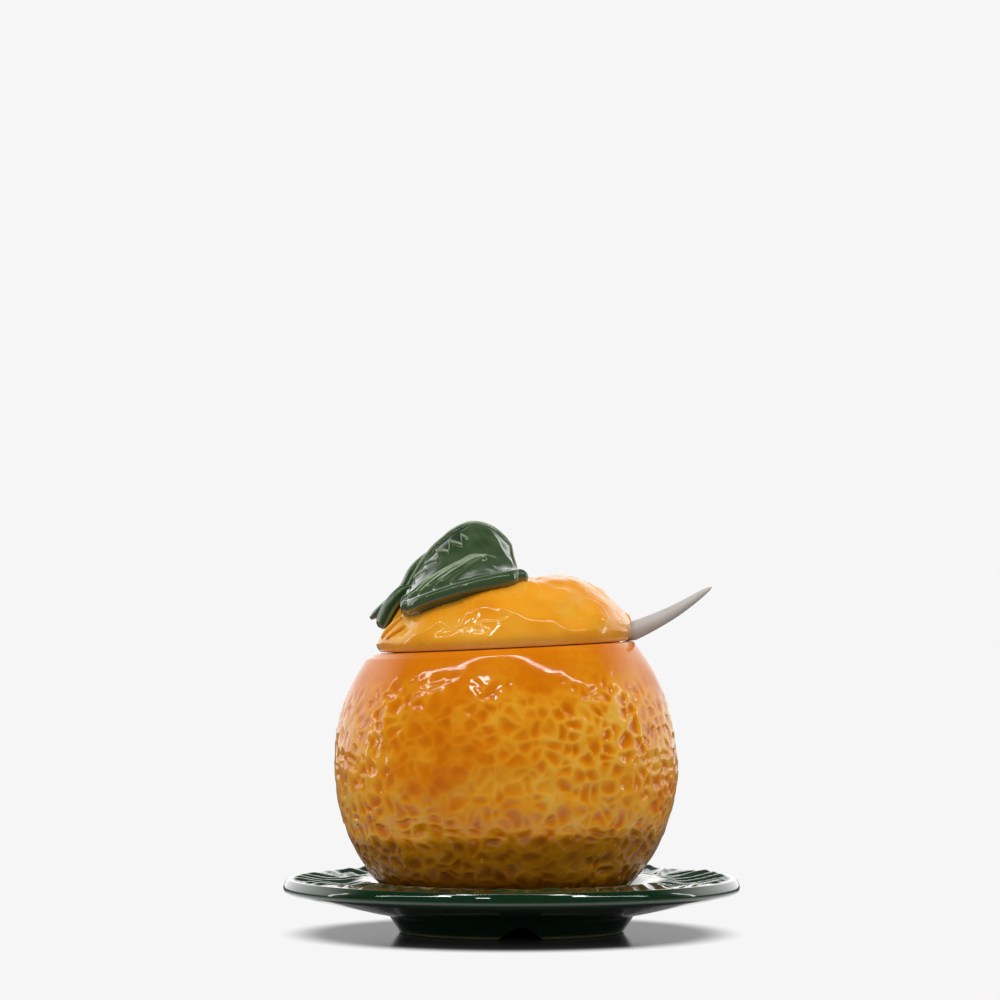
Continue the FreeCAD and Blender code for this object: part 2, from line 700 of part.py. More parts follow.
def rim_middle():
    """Middle of the pot's rim, in the frame of the whole."""
    up = size("foot_height") + size("saucer_plate") + size("pot_height")
    return Vector(size("mouth_shift") - size("pot_shift"), 0, up)


# ---------------------------------------------------------------------------------------- the spoon


def make_spoon():
    """A spoon whose bowl lies on the pot's floor and whose handle leaves over the rim, under the notch."""
    spoon = doc.addObject("Part::Feature", "spoon")
    rim = size("mouth_radius")
    outside = rim + size("rim_width")
    azimuth = math.radians(size("spoon_azimuth"))
    outward = Vector(math.cos(azimuth), math.sin(azimuth), 0)
    side = Vector(-outward.y, outward.x, 0)
    middle = rim_middle()
    floor = size("pot_floor") - size("pot_height") + size("spoon_clearance")
    crossing = outside * math.sin(math.radians(size("rim_tilt"))) * math.cos(azimuth)
    neck = crossing + size("spoon_clearance") + size("spoon_neck_depth") / 2
    over_rim = crossing + size("spoon_depth") / 2
    reach, rise = size("spoon_reach"), size("spoon_tip_rise")
    bottom = floor + size("spoon_bowl_wall") / 2
    stations = [
        (-0.60 * rim, bottom + 4.5),
        (-0.40 * rim, bottom + 1.6),
        (-0.18 * rim, bottom + 0.8),
        (0.04 * rim, blend(bottom, neck, 0.10)),
        (0.20 * rim, blend(bottom, neck, 0.36)),
        (0.42 * rim, blend(bottom, neck, 0.72)),
        (0.70 * rim, blend(bottom, neck, 0.95)),
        (rim, neck),
        (outside, over_rim),
        (blend(outside, reach, 0.5), blend(over_rim, rise, 0.42)),
        (reach, rise),
    ]
    path = smooth([middle + outward * along + Vector(0, 0, up) for along, up in stations], 30)
    sections = []
    for place, direction in path:
        along = (place - middle).dot(outward)
        in_bowl = max(0, 1 - ((along + 0.28 * rim) / (0.36 * rim)) ** 2)
        if place.z > middle.z + 0.7 * floor:
            in_bowl = 0
        crossed = min(1, max(0, (along - rim) / (outside - rim)))
        outer = min(1, max(0, (along - outside) / (reach - outside)))
        handle = (0.02 + 0.98 * (1 - outer**8)) ** 0.5 * blend(1, 0.34, outer)
        across = blend(size("spoon_width") * handle, size("spoon_bowl_width"), in_bowl**0.5) / 2
        bar = blend(size("spoon_neck_depth"), size("spoon_depth"), crossed) * handle
        deep = blend(bar, size("spoon_bowl_wall"), in_bowl**0.5) / 2
        hollow = size("spoon_bowl_sag") * in_bowl
        sections.append(spoon_section(place, side * across, direction.cross(side), deep, hollow))
    spoon.Shape = loft(sections)
    return spoon


def spoon_section(place, side, upward, deep, hollow):
    """An oval section whose sides are lifted by hollow, as the bowl's are."""
    turns = [2 * math.pi * i / 16 for i in range(16)]
    return [
        place + side * math.cos(turn) + upward * (deep * math.sin(turn) + hollow * math.cos(turn) ** 2)
        for turn in turns
    ]


# ----------------------------------------------------------------------------------------- the whole


def write_parts(parts):
    """Checks every object and writes each sub-part's solid to its STEP file."""
    doc.recompute()
    for thing in doc.Objects:
        if "Invalid" in thing.State or "Error" in thing.State:
            raise RuntimeError(f"{thing.Name} did not build")
    os.makedirs("parts", exist_ok=True)
    for part in parts:
        shape = part.Shape
        if shape.isNull() or not shape.isValid() or len(shape.Solids) != 1:
            raise RuntimeError(f"{part.Label} is not one valid solid")
        shape.exportStep(f"parts/{part.Label}.step")


write_parts([make_saucer(), make_pot(), make_lid(), make_spoon()])
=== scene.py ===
"""Looks of the orange-shaped pot.

Glazed meshes are fitted to the CAD frame, in soft studio light on a plain pale floor.
"""

import math

import bpy
import numpy as np
from mathutils import Matrix, Vector, noise


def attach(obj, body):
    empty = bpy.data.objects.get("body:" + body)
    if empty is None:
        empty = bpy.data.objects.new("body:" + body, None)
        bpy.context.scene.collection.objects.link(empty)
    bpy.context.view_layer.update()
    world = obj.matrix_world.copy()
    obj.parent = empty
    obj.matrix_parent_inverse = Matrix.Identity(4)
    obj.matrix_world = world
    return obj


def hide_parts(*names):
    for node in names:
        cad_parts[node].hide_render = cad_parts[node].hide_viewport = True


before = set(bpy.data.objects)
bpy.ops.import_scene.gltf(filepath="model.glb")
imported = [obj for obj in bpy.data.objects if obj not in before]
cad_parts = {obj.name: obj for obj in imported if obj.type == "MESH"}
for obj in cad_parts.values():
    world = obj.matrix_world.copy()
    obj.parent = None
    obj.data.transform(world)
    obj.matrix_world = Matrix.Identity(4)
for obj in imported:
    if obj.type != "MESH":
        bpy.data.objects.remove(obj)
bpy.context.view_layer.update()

# Sizes are in millimetres here, and meshes are scaled to metres as they are made.
MM = 0.001

# The pot, from its base up, and its mouth. Its side is two arcs that meet at the belly, each with
# the radius where its centre lies and its own radius; SIDE_START is where the lower one begins.
POT_BASE = np.array([-3.0, 0.0, 10.0])
POT_LEAN = math.radians(1.5)
POT_HEIGHT = 80.0
BELLY = 43.0
LOWER_ARC = (-3.06, 57.16)
UPPER_ARC = (-8.52, 62.62)
SIDE_START = math.asin(0.6865)
BASE_ROUND = 12.0
BASE_ROUND_CENTRE = 29.78
BASE_FLAT = 29.8
BASE_HOLLOW = 1.2
POT_WALL = 4.5
POT_FLOOR = 5.0
RIM_TILT = math.radians(2.75)
RIM_MIDDLE = np.array([-2.4, 0.0, 90.0])
RIM_AXIS = np.array([-math.sin(RIM_TILT), 0, math.cos(RIM_TILT)])
MOUTH = 36.0
RIM_WIDTH = 6.0
LID_GAP = 0.3

# The lid's dome, as control points in shares of its radius and height.
LID_RADIUS = 40.1
LID_HEIGHT = 21.0
LID_MIDDLE = LID_HEIGHT - 2.4
DOME = [(0.975, 0.0), (1.03, 0.10), (0.99, 0.36), (0.83, 0.72), (0.66, 0.97), (0.38, 1.04)]

# The leaf, in the lid's frame.
LEAF_BASE = (-31.6, 16.6)
LEAF_TIP = (7.8, 21.6)
LEAF_CREST = 39.8
LEAF_HALF_WIDTH = 30.0
LEAF_THICKNESS = 4.6

# The saucer's well and the ceiling under it, and its foot.
WELL_FLOOR = 10.0
UNDER_CEILING = 4.6
FOOT_RADIUS = 34.0
FOOT_NOTCH = (7.2, 4.1)

# The spoon: the way it points, the end of its handle out from and over the rim's middle, and its sizes.
SPOON_AZIMUTH = math.radians(12)
SPOON_END = (68.0, 19.0)
SPOON_GAP = 0.3
HANDLE_WIDTH = 7.6
HANDLE_DEPTH = (4.0, 6.2)
BOWL_WIDTH = 24.0
BOWL_DEPTH = 2.6
BOWL_CURL = 4.5

WHITE = (0.922, 0.922, 0.922)
TAU = 2 * math.pi

# The noise module seeds itself with the time, so it gets a fixed seed for the same dimples each run.
noise.seed_set(5)


# ------------------------------------------------------------------------------------ mesh helpers


def blend(start, end, share):
    """Start at a share of 0, end at a share of 1."""
    return start + (end - start) * share


def apart(azimuth, middle):
    """Signed angle from the middle to each azimuth, from -pi to pi."""
    return np.angle(np.exp(1j * (azimuth - middle)))


def step(low, high, value):
    """Smooth rise from 0 at low to 1 at high."""
    share = np.clip((value - low) / (high - low), 0, 1)
    return share * share * (3 - 2 * share)


def bump(value, middle, width):
    """Smooth hill of height 1 at the middle."""
    return np.exp(-(((value - middle) / width) ** 2))


def b_spline(points, count):
    """Clamped cubic B-spline through control points, at even steps."""
    points = np.asarray(points, float)
    last = len(points) - 1
    knots = [0.0] * 3 + list(np.linspace(0, 1, last - 1)) + [1.0] * 3
    out = []
    for t in np.linspace(0, 1, count):
        span = min(max(k for k in range(3, last + 1) if knots[k] <= t), last)
        local = [points[span - 3 + i] for i in range(4)]
        for level in range(1, 4):
            for i in range(3, level - 1, -1):
                low = knots[span - 3 + i]
                high = knots[span + 1 + i - level]
                share = (t - low) / (high - low)
                local[i] = (1 - share) * local[i - 1] + share * local[i]
        out.append(local[3])
    return np.array(out)


def through(points, count):
    """Catmull-Rom curve through points, at even steps of its parameter."""
    points = np.asarray(points, float)
    padded = np.vstack([2 * points[0] - points[1], points, 2 * points[-1] - points[-2]])
    out = []
    for t in np.linspace(0, len(points) - 1 - 1e-9, count):
        i, s = int(t), t - int(t)
        a, b, c, d = padded[i : i + 4]
        out.append(
            0.5 * (2 * b + (c - a) * s + (2 * a - 5 * b + 4 * c - d) * s**2 + (3 * b - a - 3 * c + d) * s**3)
        )
    return np.array(out)


def normals_of(rings):
    """Unit normals of a grid closed around its second axis, pointing outwards for rings that go up."""
    around = np.roll(rings, -1, axis=1) - np.roll(rings, 1, axis=1)
    along = np.gradient(rings, axis=0)
    normal = np.cross(around, along)
    length = np.linalg.norm(normal, axis=2, keepdims=True)
    return normal / np.maximum(length, 1e-9)


def noise_at(points, scale, seed):
    """Smooth noise from -1 to 1 at each point; scale is its grain in millimetres."""
    flat = points.reshape(-1, 3) / scale + seed
    values = [noise.noise(Vector(p)) for p in flat]
    return np.array(values).reshape(points.shape[:-1])


def cells_at(points, scale, seed, warp):
    """Cells of irregular size: their round middles, from 0 to 1, and the thin borders between them."""
    flat = points.reshape(-1, 3) / scale + seed
    near = []
    for p in flat:
        place = Vector(p)
        place += noise.noise_vector(place * 0.8) * warp
        near.append(noise.voronoi(place)[0][:2])
    first, second = np.array(near).T
    shape = points.shape[:-1]
    middles = 1 - step(0.05, 0.60, first)
    borders = 1 - step(0.03, 0.33, second - first)
    return middles.reshape(shape), borders.reshape(shape)


def make_piece(name, rings, material, slot, first, last, values=None):
    """A closed object from rings of points; first and last are the middles of its two ends."""
    rows, columns = rings.shape[:2]
    points = [rings.reshape(-1, 3)]
    index = np.arange(rows * columns).reshape(rows, columns)
    beyond = np.roll(index, -1, axis=1)
    quads = np.stack([index[:-1], beyond[:-1], beyond[1:], index[1:]], axis=-1).reshape(-1, 4)
    triangles = []
    count = rows * columns
    for centre, row, flipped in ((first, 0, True), (last, rows - 1, False)):
        points.append(np.asarray(centre, float).reshape(1, 3))
        ring, after = index[row], beyond[row]
        pair = (after, ring) if flipped else (ring, after)
        triangles.append(np.stack([*pair, np.full(columns, count)], axis=-1))
        count += 1
    mesh = bpy.data.meshes.new(name)
    faces = [tuple(map(int, q)) for q in quads]
    faces += [tuple(map(int, t)) for group in triangles for t in group]
    mesh.from_pydata((np.vstack(points) * MM).tolist(), [], faces)
    mesh.polygons.foreach_set("use_smooth", np.ones(len(mesh.polygons), bool))
    for key, value in (values or {}).items():
        flat = np.append(value.reshape(-1), np.full(count - rows * columns, float(value[0].mean())))
        attribute = mesh.attributes.new(key, "FLOAT", "POINT")
        attribute.data.foreach_set("value", flat.astype(np.float32))
    mesh.update()
    mesh.materials.append(material)
    piece = bpy.data.objects.new(name, mesh)
    bpy.context.scene.collection.objects.link(piece)
    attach(piece, "root")
    return piece


# --------------------------------------------------------------------------------------- materials


class Nodes:
    """A material's node tree, with short calls for the nodes used here."""

    def __init__(self, name):
        self.material = bpy.data.materials.new(name)
        self.material.use_nodes = True
        self.tree = self.material.node_tree
        self.shader = self.tree.nodes["Principled BSDF"]

    def add(self, kind, links=(), **settings):
        """A new node; links gives its inputs a value or another node's output."""
        node = self.tree.nodes.new(kind)
        for key, value in settings.items():
            setattr(node, key, value)
        for socket, value in dict(links).items():
            self.set(node.inputs[socket], value)
        return node

    def set(self, socket, value):
        """Link an output to an input, or write a value into it."""
        if isinstance(value, bpy.types.NodeSocket):
            self.tree.links.new(value, socket)
        elif isinstance(value, tuple) and len(value) == 3 and socket.type == "RGBA":
            socket.default_value = (*value, 1)
        else:
            socket.default_value = value

    def attribute(self, name):
        return self.add("ShaderNodeAttribute", attribute_name=name).outputs["Fac"]

    def place(self):
        return self.add("ShaderNodeTexCoord").outputs["Object"]

    def speckle(self, scale, detail=2.0, roughness=0.5):
        """Noise over the object's own coordinates, scale in waves per metre."""
        links = {"Vector": self.place(), "Scale": scale, "Detail": detail, "Roughness": roughness}
        return self.add("ShaderNodeTexNoise", links).outputs["Fac"]

    def math(self, operation, a, b=0.0):
        return self.add("ShaderNodeMath", {0: a, 1: b}, operation=operation).outputs[0]

    def pooling(self, scale, share):
        """Where the glaze is thick, with the painted shade and highlight that the pieces add to it, broken up
        by a share of fine speckle.
        """
        return self.math("ADD", self.attribute("pool"), self.math("MULTIPLY", self.speckle(scale, 3), share))

    def sheen(self, scale, spread, least):
        """Roughness that wanders over the piece, from least up by spread."""
        inputs = {0: self.speckle(scale), 1: spread, 2: least}
        return self.add("ShaderNodeMath", inputs, operation="MULTIPLY_ADD").outputs[0]

    def ramp(self, factor, stops):
        """A colour ramp; stops are (place, colour)."""
        node = self.add("ShaderNodeValToRGB", {"Fac": factor})
        elements = node.color_ramp.elements
        while len(elements) < len(stops):
            elements.new(0.5)
        for element, (place, colour) in zip(elements, stops):
            element.position = place
            element.color = (*colour, 1)
        return node.outputs["Color"]

    def mix(self, factor, a, b):
        """Colour a at a factor of 0, colour b at 1."""
        node = self.add("ShaderNodeMix", data_type="RGBA")
        colours = [socket for socket in node.inputs if socket.type == "RGBA"]
        self.set(node.inputs[0], factor)
        self.set(colours[0], a)
        self.set(colours[1], b)
        return [socket for socket in node.outputs if socket.type == "RGBA"][0]

    def glaze(self, colour, roughness, coat, relief=None, distance=0.0002):
        """Finish the shader as a glossy glaze; relief is a height for the bump, distance its depth."""
        self.set(self.shader.inputs["Base Color"], colour)
        self.set(self.shader.inputs["Roughness"], roughness)
        self.shader.inputs["Coat Weight"].default_value = coat
        self.shader.inputs["Coat Roughness"].default_value = 0.04
        if relief is not None:
            bumped = self.add("ShaderNodeBump", {"Height": relief, "Distance": distance, "Strength": 1.0})
            self.set(self.shader.inputs["Normal"], bumped.outputs["Normal"])
        return self.material


def pot_glaze():
    """Amber glaze, dark where it pools in the dimples and pale on the ridges; olive towards the base, partly
    its own tint and partly painted reflection and shade of the saucer, and painted shade near black at the
    very bottom.
    """
    nodes = Nodes("amber_glaze")
    pool = nodes.math("SUBTRACT", nodes.pooling(420, 0.24), 0.12)
    amber = nodes.ramp(
        pool,
        [
            (0.0, (0.98, 0.53, 0.075)),
            (0.30, (0.93, 0.375, 0.014)),
            (0.60, (0.81, 0.225, 0.002)),
            (1.0, (0.62, 0.12, 0.0006)),
        ],
    )
    # Olive: partly the glaze's own tint, partly painted reflection and shade of the saucer.
    olive = nodes.ramp(
        pool,
        [(0.0, (0.66, 0.27, 0.008)), (0.5, (0.47, 0.155, 0.001)), (1.0, (0.29, 0.075, 0.0005))],
    )
    # Near black at the very bottom, down in the saucer's well, is painted shade.
    dark = nodes.mix(nodes.attribute("base"), olive, (0.055, 0.013, 0.0003))
    colour = nodes.mix(nodes.attribute("olive"), amber, dark)
    return nodes.glaze(colour, nodes.sheen(60, 0.04, 0.05), 0.0, nodes.speckle(900, 2), 0.000008)


def lid_glaze():
    """Brighter orange glaze, pale where it is thin; its paler threads are partly painted highlight."""
    nodes = Nodes("orange_glaze")
    colour = nodes.ramp(
        nodes.pooling(260, 0.2),
        [
            (0.0, (0.98, 0.63, 0.20)),
            (0.28, (0.98, 0.48, 0.048)),
            (0.60, (0.96, 0.37, 0.015)),
            (1.0, (0.78, 0.21, 0.003)),
        ],
    )
    return nodes.glaze(colour, nodes.sheen(60, 0.04, 0.05), 0.0, nodes.speckle(700, 2), 0.000008)


def green_glaze(name, pale, middle, deep, worn):
    """Green glaze, pale on the veins and deep between them, the pale partly thin glaze and partly painted
    highlight; worn is the colour where it is thin, on the saucer's collar partly painted highlight.
    """
    nodes = Nodes(name)
    colour = nodes.ramp(nodes.pooling(350, 0.24), [(0.0, pale), (0.35, middle), (0.9, deep)])
    colour = nodes.mix(nodes.attribute("thin"), colour, worn)
    return nodes.glaze(colour, nodes.sheen(80, 0.05, 0.02), 1.0, nodes.speckle(800, 2), 0.000003)


def white_glaze():
    """Satin white glaze with a faint cloudiness."""
    nodes = Nodes("white_glaze")
    colour = nodes.ramp(nodes.speckle(120, 2), [(0.3, (0.57, 0.53, 0.49)), (0.7, (0.64, 0.60, 0.56))])
    return nodes.glaze(colour, 0.34, 0.0)


# --------------------------------------------------------------------------------------- the pieces


def tilted(points):
    """From the lid's frame to the whole's."""
    cosine, sine = math.cos(RIM_TILT), math.sin(RIM_TILT)
    x, y, z = np.moveaxis(points, -1, 0)
    seat = RIM_MIDDLE + RIM_AXIS * LID_GAP
    return np.stack([x * cosine - z * sine, y, x * sine + z * cosine], axis=-1) + seat


def leaning(radius, height, azimuth):
    """A point of the pot's body, whose axis leans to one side over its base."""
    x, y = radius * np.cos(azimuth), radius * np.sin(azimuth)
    cosine, sine = math.cos(POT_LEAN), math.sin(POT_LEAN)
    return np.stack([x * cosine + height * sine, y, height * cosine - x * sine], axis=-1) + POT_BASE


def over_rim(points):
    """Height of points over the rim's plane."""
    return (points - RIM_MIDDLE) @ RIM_AXIS


def body_side(inset, azimuth, rows, stop):
    """Rings of the pot's side, inset from its outside, from its lower end to stop under the rim."""
    if inset == 0:
        low = SIDE_START
    else:
        low = math.asin((BELLY - POT_FLOOR - 4) / (LOWER_ARC[1] - inset))

    def at(angle):
        centre = np.where(angle < 0, LOWER_ARC[0], UPPER_ARC[0])
        radius = np.where(angle < 0, LOWER_ARC[1], UPPER_ARC[1]) - inset
        return leaning(centre + radius * np.cos(angle), BELLY + radius * np.sin(angle), azimuth)

    # Halve the range of angles until the side ends at the height asked for, all round.
    under, above = np.zeros_like(azimuth), np.full_like(azimuth, 1.2)
    for _ in range(30):
        middle = (under + above) / 2
        low_enough = over_rim(at(middle)) < -stop
        under, above = np.where(low_enough, middle, under), np.where(low_enough, above, middle)
    return np.stack([at(blend(-low, under, share)) for share in np.linspace(0, 1, rows)])


def rim_ring(radius, drop, azimuth):
    """A ring about the mouth's axis, drop under the rim's plane."""
    x, y = radius * np.cos(azimuth), radius * np.sin(azimuth)
    return tilted(np.stack([x, y, np.full_like(azimuth, -drop)], axis=-1)) - RIM_AXIS * LID_GAP


def make_pot(material):
    """The hollow pot: base, dimpled side, lip, and the wall and floor inside."""
    columns, rows = ((420, 184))
    azimuth = np.linspace(0, TAU, columns, endpoint=False)
    hollow = [leaning(np.full(columns, radius), BASE_HOLLOW, azimuth) for radius in (12.0, 24.8)]
    foot = [leaning(np.full(columns, radius), 0.0, azimuth) for radius in (26.0, 28.0, BASE_FLAT)]
    corner = []
    for turn in np.linspace(-math.pi / 2, -SIDE_START, 8)[1:-1]:
        radius = BASE_ROUND_CENTRE + BASE_ROUND * np.cos(turn)
        corner.append(leaning(radius, BASE_ROUND * (1 + np.sin(turn)), azimuth))
    side = body_side(0, azimuth, rows, 1.6)
    rings = np.concatenate([np.stack(hollow + foot + corner), side])
    height = rings[..., 2] - POT_BASE[2]
    turned = np.arctan2(rings[..., 1], rings[..., 0])

    # Dimples: strong on the right and back, soft to the left of the front, none near the rim or
    # under the base.
    pits, borders = cells_at(rings, 4.6, 3.1, 0.5)
    broad = noise_at(rings, 17.0, 7.7)
    fine = noise_at(rings, 5.0, 1.3)
    soft = bump(apart(turned, math.radians(-112)), 0, 0.62) * bump(height, 44, 26)
    strength = (1 - 0.66 * soft) * (0.75 + 0.35 * noise_at(rings, 30.0, 4.4))
    reach = step(1.5, 9, height) * (1 - step(60, 74, height + 4 * broad))
    rising, ending = step(4, 14, height), 1 - step(70, 79, height)
    relief = (0.22 * borders - 0.60 * pits) * strength * reach + 0.55 * broad * rising * ending
    relief += (0.22 * fine + 0.32 * noise_at(rings, 8.5, 2.7)) * reach
    rings = rings + normals_of(rings) * relief[..., None]

    # The glaze pools in the dimples, and turns olive below a wandering line, partly its own tint and partly
    # painted reflection and shade of the green saucer.
    wander = 2.4 * noise_at(rings, 11.0, 9.2) + 1.1 * noise_at(rings, 4.0, 2.2)
    dimpled = (0.46 * (pits - 0.25) - 0.38 * borders) * strength * reach
    # Deeper amber over the soft front is painted shade, and the pale band across it is a painted reflection
    # of the floor.
    floor_reflection_band = bump(height + 3 * broad, 35, 3.5)
    pool = 0.50 + 0.16 * soft + 0.12 * step(55, 74, height) + dimpled
    pool += 0.18 * broad + 0.20 * noise_at(rings, 6.5, 3.9) * reach - 0.16 * soft * floor_reflection_band
    values = {
        "pool": np.clip(pool, 0, 1),
        "olive": 1 - step(20.0, 23.0, height + wander + 3.5 * np.cos(turned) * np.sin(turned)),
        # Painted shade at the very bottom, down in the saucer's well.
        "base": 1 - step(2.0, 14.0, height + 0.6 * wander),
    }

    outside = MOUTH + RIM_WIDTH
    lip = [(outside - 0.1, 1.1), (outside - 0.5, 0.5), (outside - 1.2, 0.12), (outside - 2.2, 0.0)]
    lip += [(MOUTH + 1.5, 0.0), (MOUTH + 0.5, 0.15), (MOUTH, 0.7), (MOUTH, 2.5), (MOUTH, 5.0)]
    lip_rings = np.stack([rim_ring(radius, drop, azimuth) for radius, drop in lip])
    inside = body_side(POT_WALL, azimuth, 24, 6.5)[::-1]
    floor = ((26, 0.6), (20, 0.0), (10, 0.0))
    floor_rings = [leaning(np.full(columns, radius), POT_FLOOR + up, azimuth) for radius, up in floor]
    whole = np.concatenate([rings, lip_rings, inside, np.stack(floor_rings)])
    extra = len(whole) - len(rings)
    for key in values:
        end = values[key][-1:] if key == "pool" else np.zeros((1, columns))
        values[key] = np.concatenate([values[key], np.repeat(end, extra, axis=0)])
    first = leaning(np.zeros(1), BASE_HOLLOW, np.zeros(1))
    last = leaning(np.zeros(1), POT_FLOOR, np.zeros(1))
    pot = make_piece("pot_body", whole, material, "orange_glaze", first, last, values)
    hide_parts("pot")


def notch_lift(azimuth, radius):
    """How far the lid's edge rises over the spoon's handle."""
    aside = np.abs(apart(azimuth, SPOON_AZIMUTH)) * radius
    return 8.4 * np.sqrt(np.clip(1 - (aside / 4.8) ** 2, 0, None))


def make_lid(material):
    """The hollow lid: its inside, the flange that fits the mouth, and the dented dome."""
    columns, rows = ((400, 110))
    even = np.linspace(0, TAU, columns, endpoint=False)
    close = SPOON_AZIMUTH + np.linspace(-0.13, 0.13, 61)
    azimuth = np.unique(np.round(np.concatenate([even, close % TAU]), 5))
    poles = [(r * LID_RADIUS, h * LID_HEIGHT) for r, h in DOME]
    poles += [(0.18 * LID_RADIUS, LID_MIDDLE), (0.0, LID_MIDDLE)]
    outer = b_spline(poles, rows + 1)[:-1]
    inner = through([(34.8, 0.0), (35.3, 6.0), (31.5, 12.0), (22.0, 16.2), (8.0, 15.6), (0.5, 15.5)], 24)
    flange = [(35.2, 0.0), (35.0, -0.4), (35.0, -4.4), (34.6, -5.0), (32.4, -5.0), (32.0, -4.4), (32.0, 2.0)]
    profile = [(radius, height) for radius, height in inner[::-1] if height > 2.2]
    profile += flange[::-1] + [(38.4, 0.0)] + [tuple(p) for p in outer]
    profile = np.array(profile)
    radius, height = profile[:, :1], profile[:, 1:]
    x, y = radius * np.cos(azimuth), radius * np.sin(azimuth)
    lift = notch_lift(azimuth, np.maximum(radius, 20))
    fade = 9
    z = np.where(height < fade, height + lift * np.clip((fade - height) / fade, 0, 1.0), height)
    z = np.where((height < 0.01) & (lift > 0), np.maximum(z, lift), z)
    rings = np.stack([x, y, z], axis=-1)

    start = len(profile) - len(outer)
    skin = rings[start:]
    broad = noise_at(skin, 15.0, 5.5)
    small = noise_at(skin, 6.0, 8.1)
    # Dents, fine threads, and the side pressed in on the left.
    threads = bump(noise_at(skin, 11.0, 2.9), 0.12, 0.035) + 0.7 * bump(noise_at(skin, 8.0, 6.9), -0.2, 0.04)
    level = skin[..., 2]
    reach = step(2.0, 7, level)
    relief = (0.9 * broad + 0.85 * noise_at(skin, 9.0, 1.7) + 0.40 * small + 0.20 * threads) * reach
    left = bump(apart(azimuth, math.pi), 0, 1.0)
    sunk = 1.8 * left * step(2.0, 8.0, level) * step(8.0, 20.0, radius[start:])
    rings[start:] = skin + normals_of(rings)[start:] * (relief - sunk)[..., None]
    beside = bump(apart(azimuth, math.radians(190)), 0, 0.5)
    # The threads are a little paler, partly thin glaze and partly painted highlight.
    pool = 0.46 + 0.28 * broad + 0.10 * small - 0.10 * threads
    pool = np.clip(pool - 0.42 * bump(level, 0.4, 1.3) - 0.35 * beside * bump(level, 5, 5), 0, 1)
    values = np.full(rings.shape[:2], 0.25)
    values[start:] = pool
    first = tilted(np.array([0, 0, profile[0, 1]]))
    last = tilted(np.array([0, 0, rings[-1, :, 2].mean()]))
    lid = make_piece("lid_dome", tilted(rings), material, "orange_glaze_lid", first, last, {"pool": values})
    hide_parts("lid")


def midrib(share):
    """Points along the top of the leaf, from its base at a share of 0 to its tip at 1."""
    share = np.asarray(share, float)
    line = blend(LEAF_BASE[1], LEAF_TIP[1], share)
    crest = LEAF_CREST - (LEAF_BASE[1] + LEAF_TIP[1]) / 2
    hump = np.sin(math.pi * share**1.22).clip(0) ** 0.58 * (1 - step(0.905, 0.95, share)) ** 0.5
    along = blend(LEAF_BASE[0], LEAF_TIP[0], share)
    return np.stack([along, np.zeros_like(share), line + crest * hump], axis=-1)


def leaf_surfaces(angles, across):
    """Upper and lower points of the blade; across runs from -1, the near edge, to 1, the far one."""
    share = ((1 - np.cos(angles)) / 2)[:, None]
    width = LEAF_HALF_WIDTH * np.sin(angles)[:, None] ** 0.4
    crown = midrib(share[:, 0])
    edge = blend(LEAF_BASE[1], LEAF_TIP[1] + 4.0, share) + 1.2 * np.sin(math.pi * share)
    thickness = LEAF_THICKNESS * blend(1, 1.4, share)
    reach = np.abs(across)[None, :]
    fall = reach**2 * (3 - 2 * reach)
    spread = np.sign(across)[None, :] * width * reach * (0.62 + 0.38 * reach)
    along = crown[:, :1] + 0 * spread
    upper = np.stack([along, spread, blend(crown[:, 2:], edge, fall)], axis=-1)
    root = 2.0 + 5.0 * np.sin(math.pi * share)
    lower = np.stack([along, spread, edge - thickness - root * (1 - reach**6)], axis=-1)
    return upper, lower


